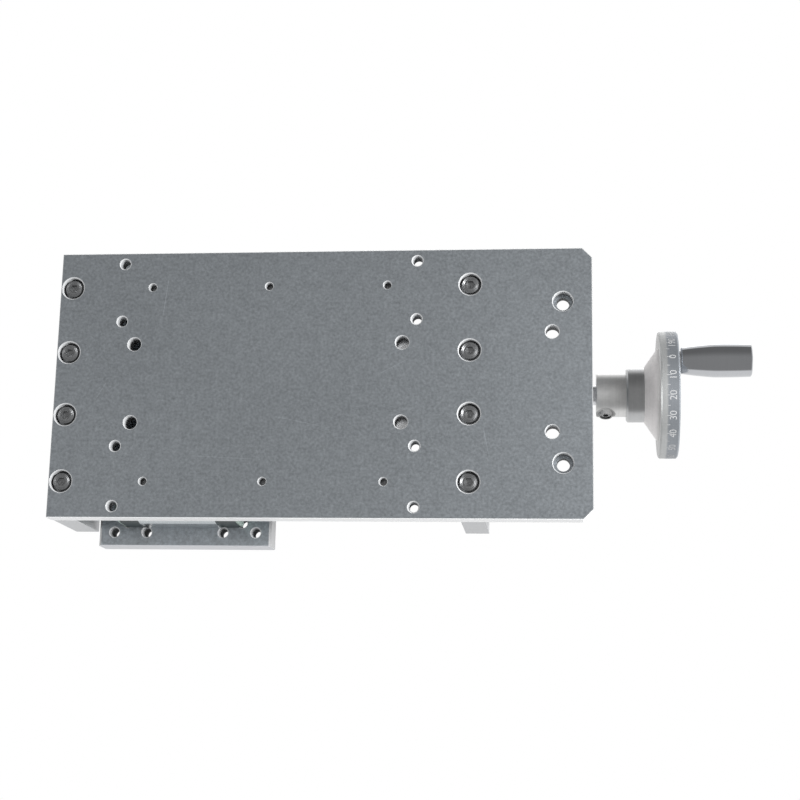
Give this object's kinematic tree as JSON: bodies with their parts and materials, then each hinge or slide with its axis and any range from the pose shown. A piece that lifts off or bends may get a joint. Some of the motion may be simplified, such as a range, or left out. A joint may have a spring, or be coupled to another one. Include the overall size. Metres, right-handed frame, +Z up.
{
  "type": "manual slide table",
  "caption": "Manual linear slide table: flat base plate, profile rails with carriages, sliding table, feed screw, and dished handwheel with a dial and a revolving handle.",
  "frame": {"origin": "underside of the base plate, in the middle of the four outer fixing holes", "axes": "+X along the rails towards the handwheel, +Z up from the base through the table"},
  "size_m": [0.3477, 0.154, 0.064],
  "materials": {
    "blasted_aluminium": "fine blasted and clear anodised",
    "clear_anodised": "milled and clear anodised",
    "black_oxide_steel": "black oxide",
    "zinc_steel": "bright zinc",
    "ground_steel": "ground",
    "carriage_steel": "ground",
    "cap_plastic": "moulded, dark teal",
    "seal_rubber": "pale green lip seal",
    "brass": "turned",
    "bronze": "turned",
    "bearing_steel": "polished",
    "satin_aluminium": "satin turned",
    "polished_steel": "polished"
  },
  "bodies": {
    "base": {"base_plate": "blasted_aluminium", "end_block_idle": "clear_anodised", "end_block_drive": "clear_anodised", "end_block_screws": "black_oxide_steel", "rail_front": "ground_steel", "rail_rear": "ground_steel", "rail_screws": "black_oxide_steel", "drive_bearing_outer": "bearing_steel", "idle_bearing_outer": "bearing_steel", "bearing_cover": "clear_anodised", "bearing_cover_screws": "zinc_steel"},
    "table": {"table_plate": "blasted_aluminium", "carriage_body_front": "carriage_steel", "carriage_body_rear": "carriage_steel", "carriage_caps_front": "cap_plastic", "carriage_caps_rear": "cap_plastic", "carriage_seals_front": "seal_rubber", "carriage_seals_rear": "seal_rubber", "grease_nipples": "brass", "carriage_screws": "black_oxide_steel", "nut_bracket": "clear_anodised", "nut_bracket_screws": "black_oxide_steel", "feed_nut": "bronze", "feed_nut_screws": "zinc_steel"},
    "feed_screw": {"feed_screw": "bearing_steel", "drive_bearing_inner": "bearing_steel", "drive_bearing_balls": "bearing_steel", "idle_bearing_inner": "bearing_steel", "idle_bearing_balls": "bearing_steel", "bearing_lock_nut": "black_oxide_steel", "journal_circlip": "zinc_steel", "wheel_sleeve": "satin_aluminium", "sleeve_set_screw": "black_oxide_steel", "wheel_key": "zinc_steel", "handwheel": "satin_aluminium", "wheel_washer": "zinc_steel", "wheel_end_screw": "zinc_steel", "handle_spindle": "zinc_steel"},
    "handle": {"handle_grip": "polished_steel"}
  },
  "joints": [
    {"name": "screw_spin", "type": "hinge", "parent": "base", "child": "feed_screw", "pos_m": [0, 0, 0.0313], "axis": [1, 0, 0], "range_deg": [-360, 8640]},
    {"name": "table_slide", "type": "slide", "parent": "base", "child": "table", "axis": [1, 0, 0], "range_m": [-0.00405, 0.09605]},
    {"name": "handle_spin", "type": "hinge", "parent": "feed_screw", "child": "handle", "pos_m": [0.2143, -0.0131, 0.01252], "axis": [1, 0, 0], "continuous": true}
  ],
  "couplings": [
    {"joint": "table_slide", "follows": "screw_spin", "m_per_rad": 0.00063662}
  ]
}
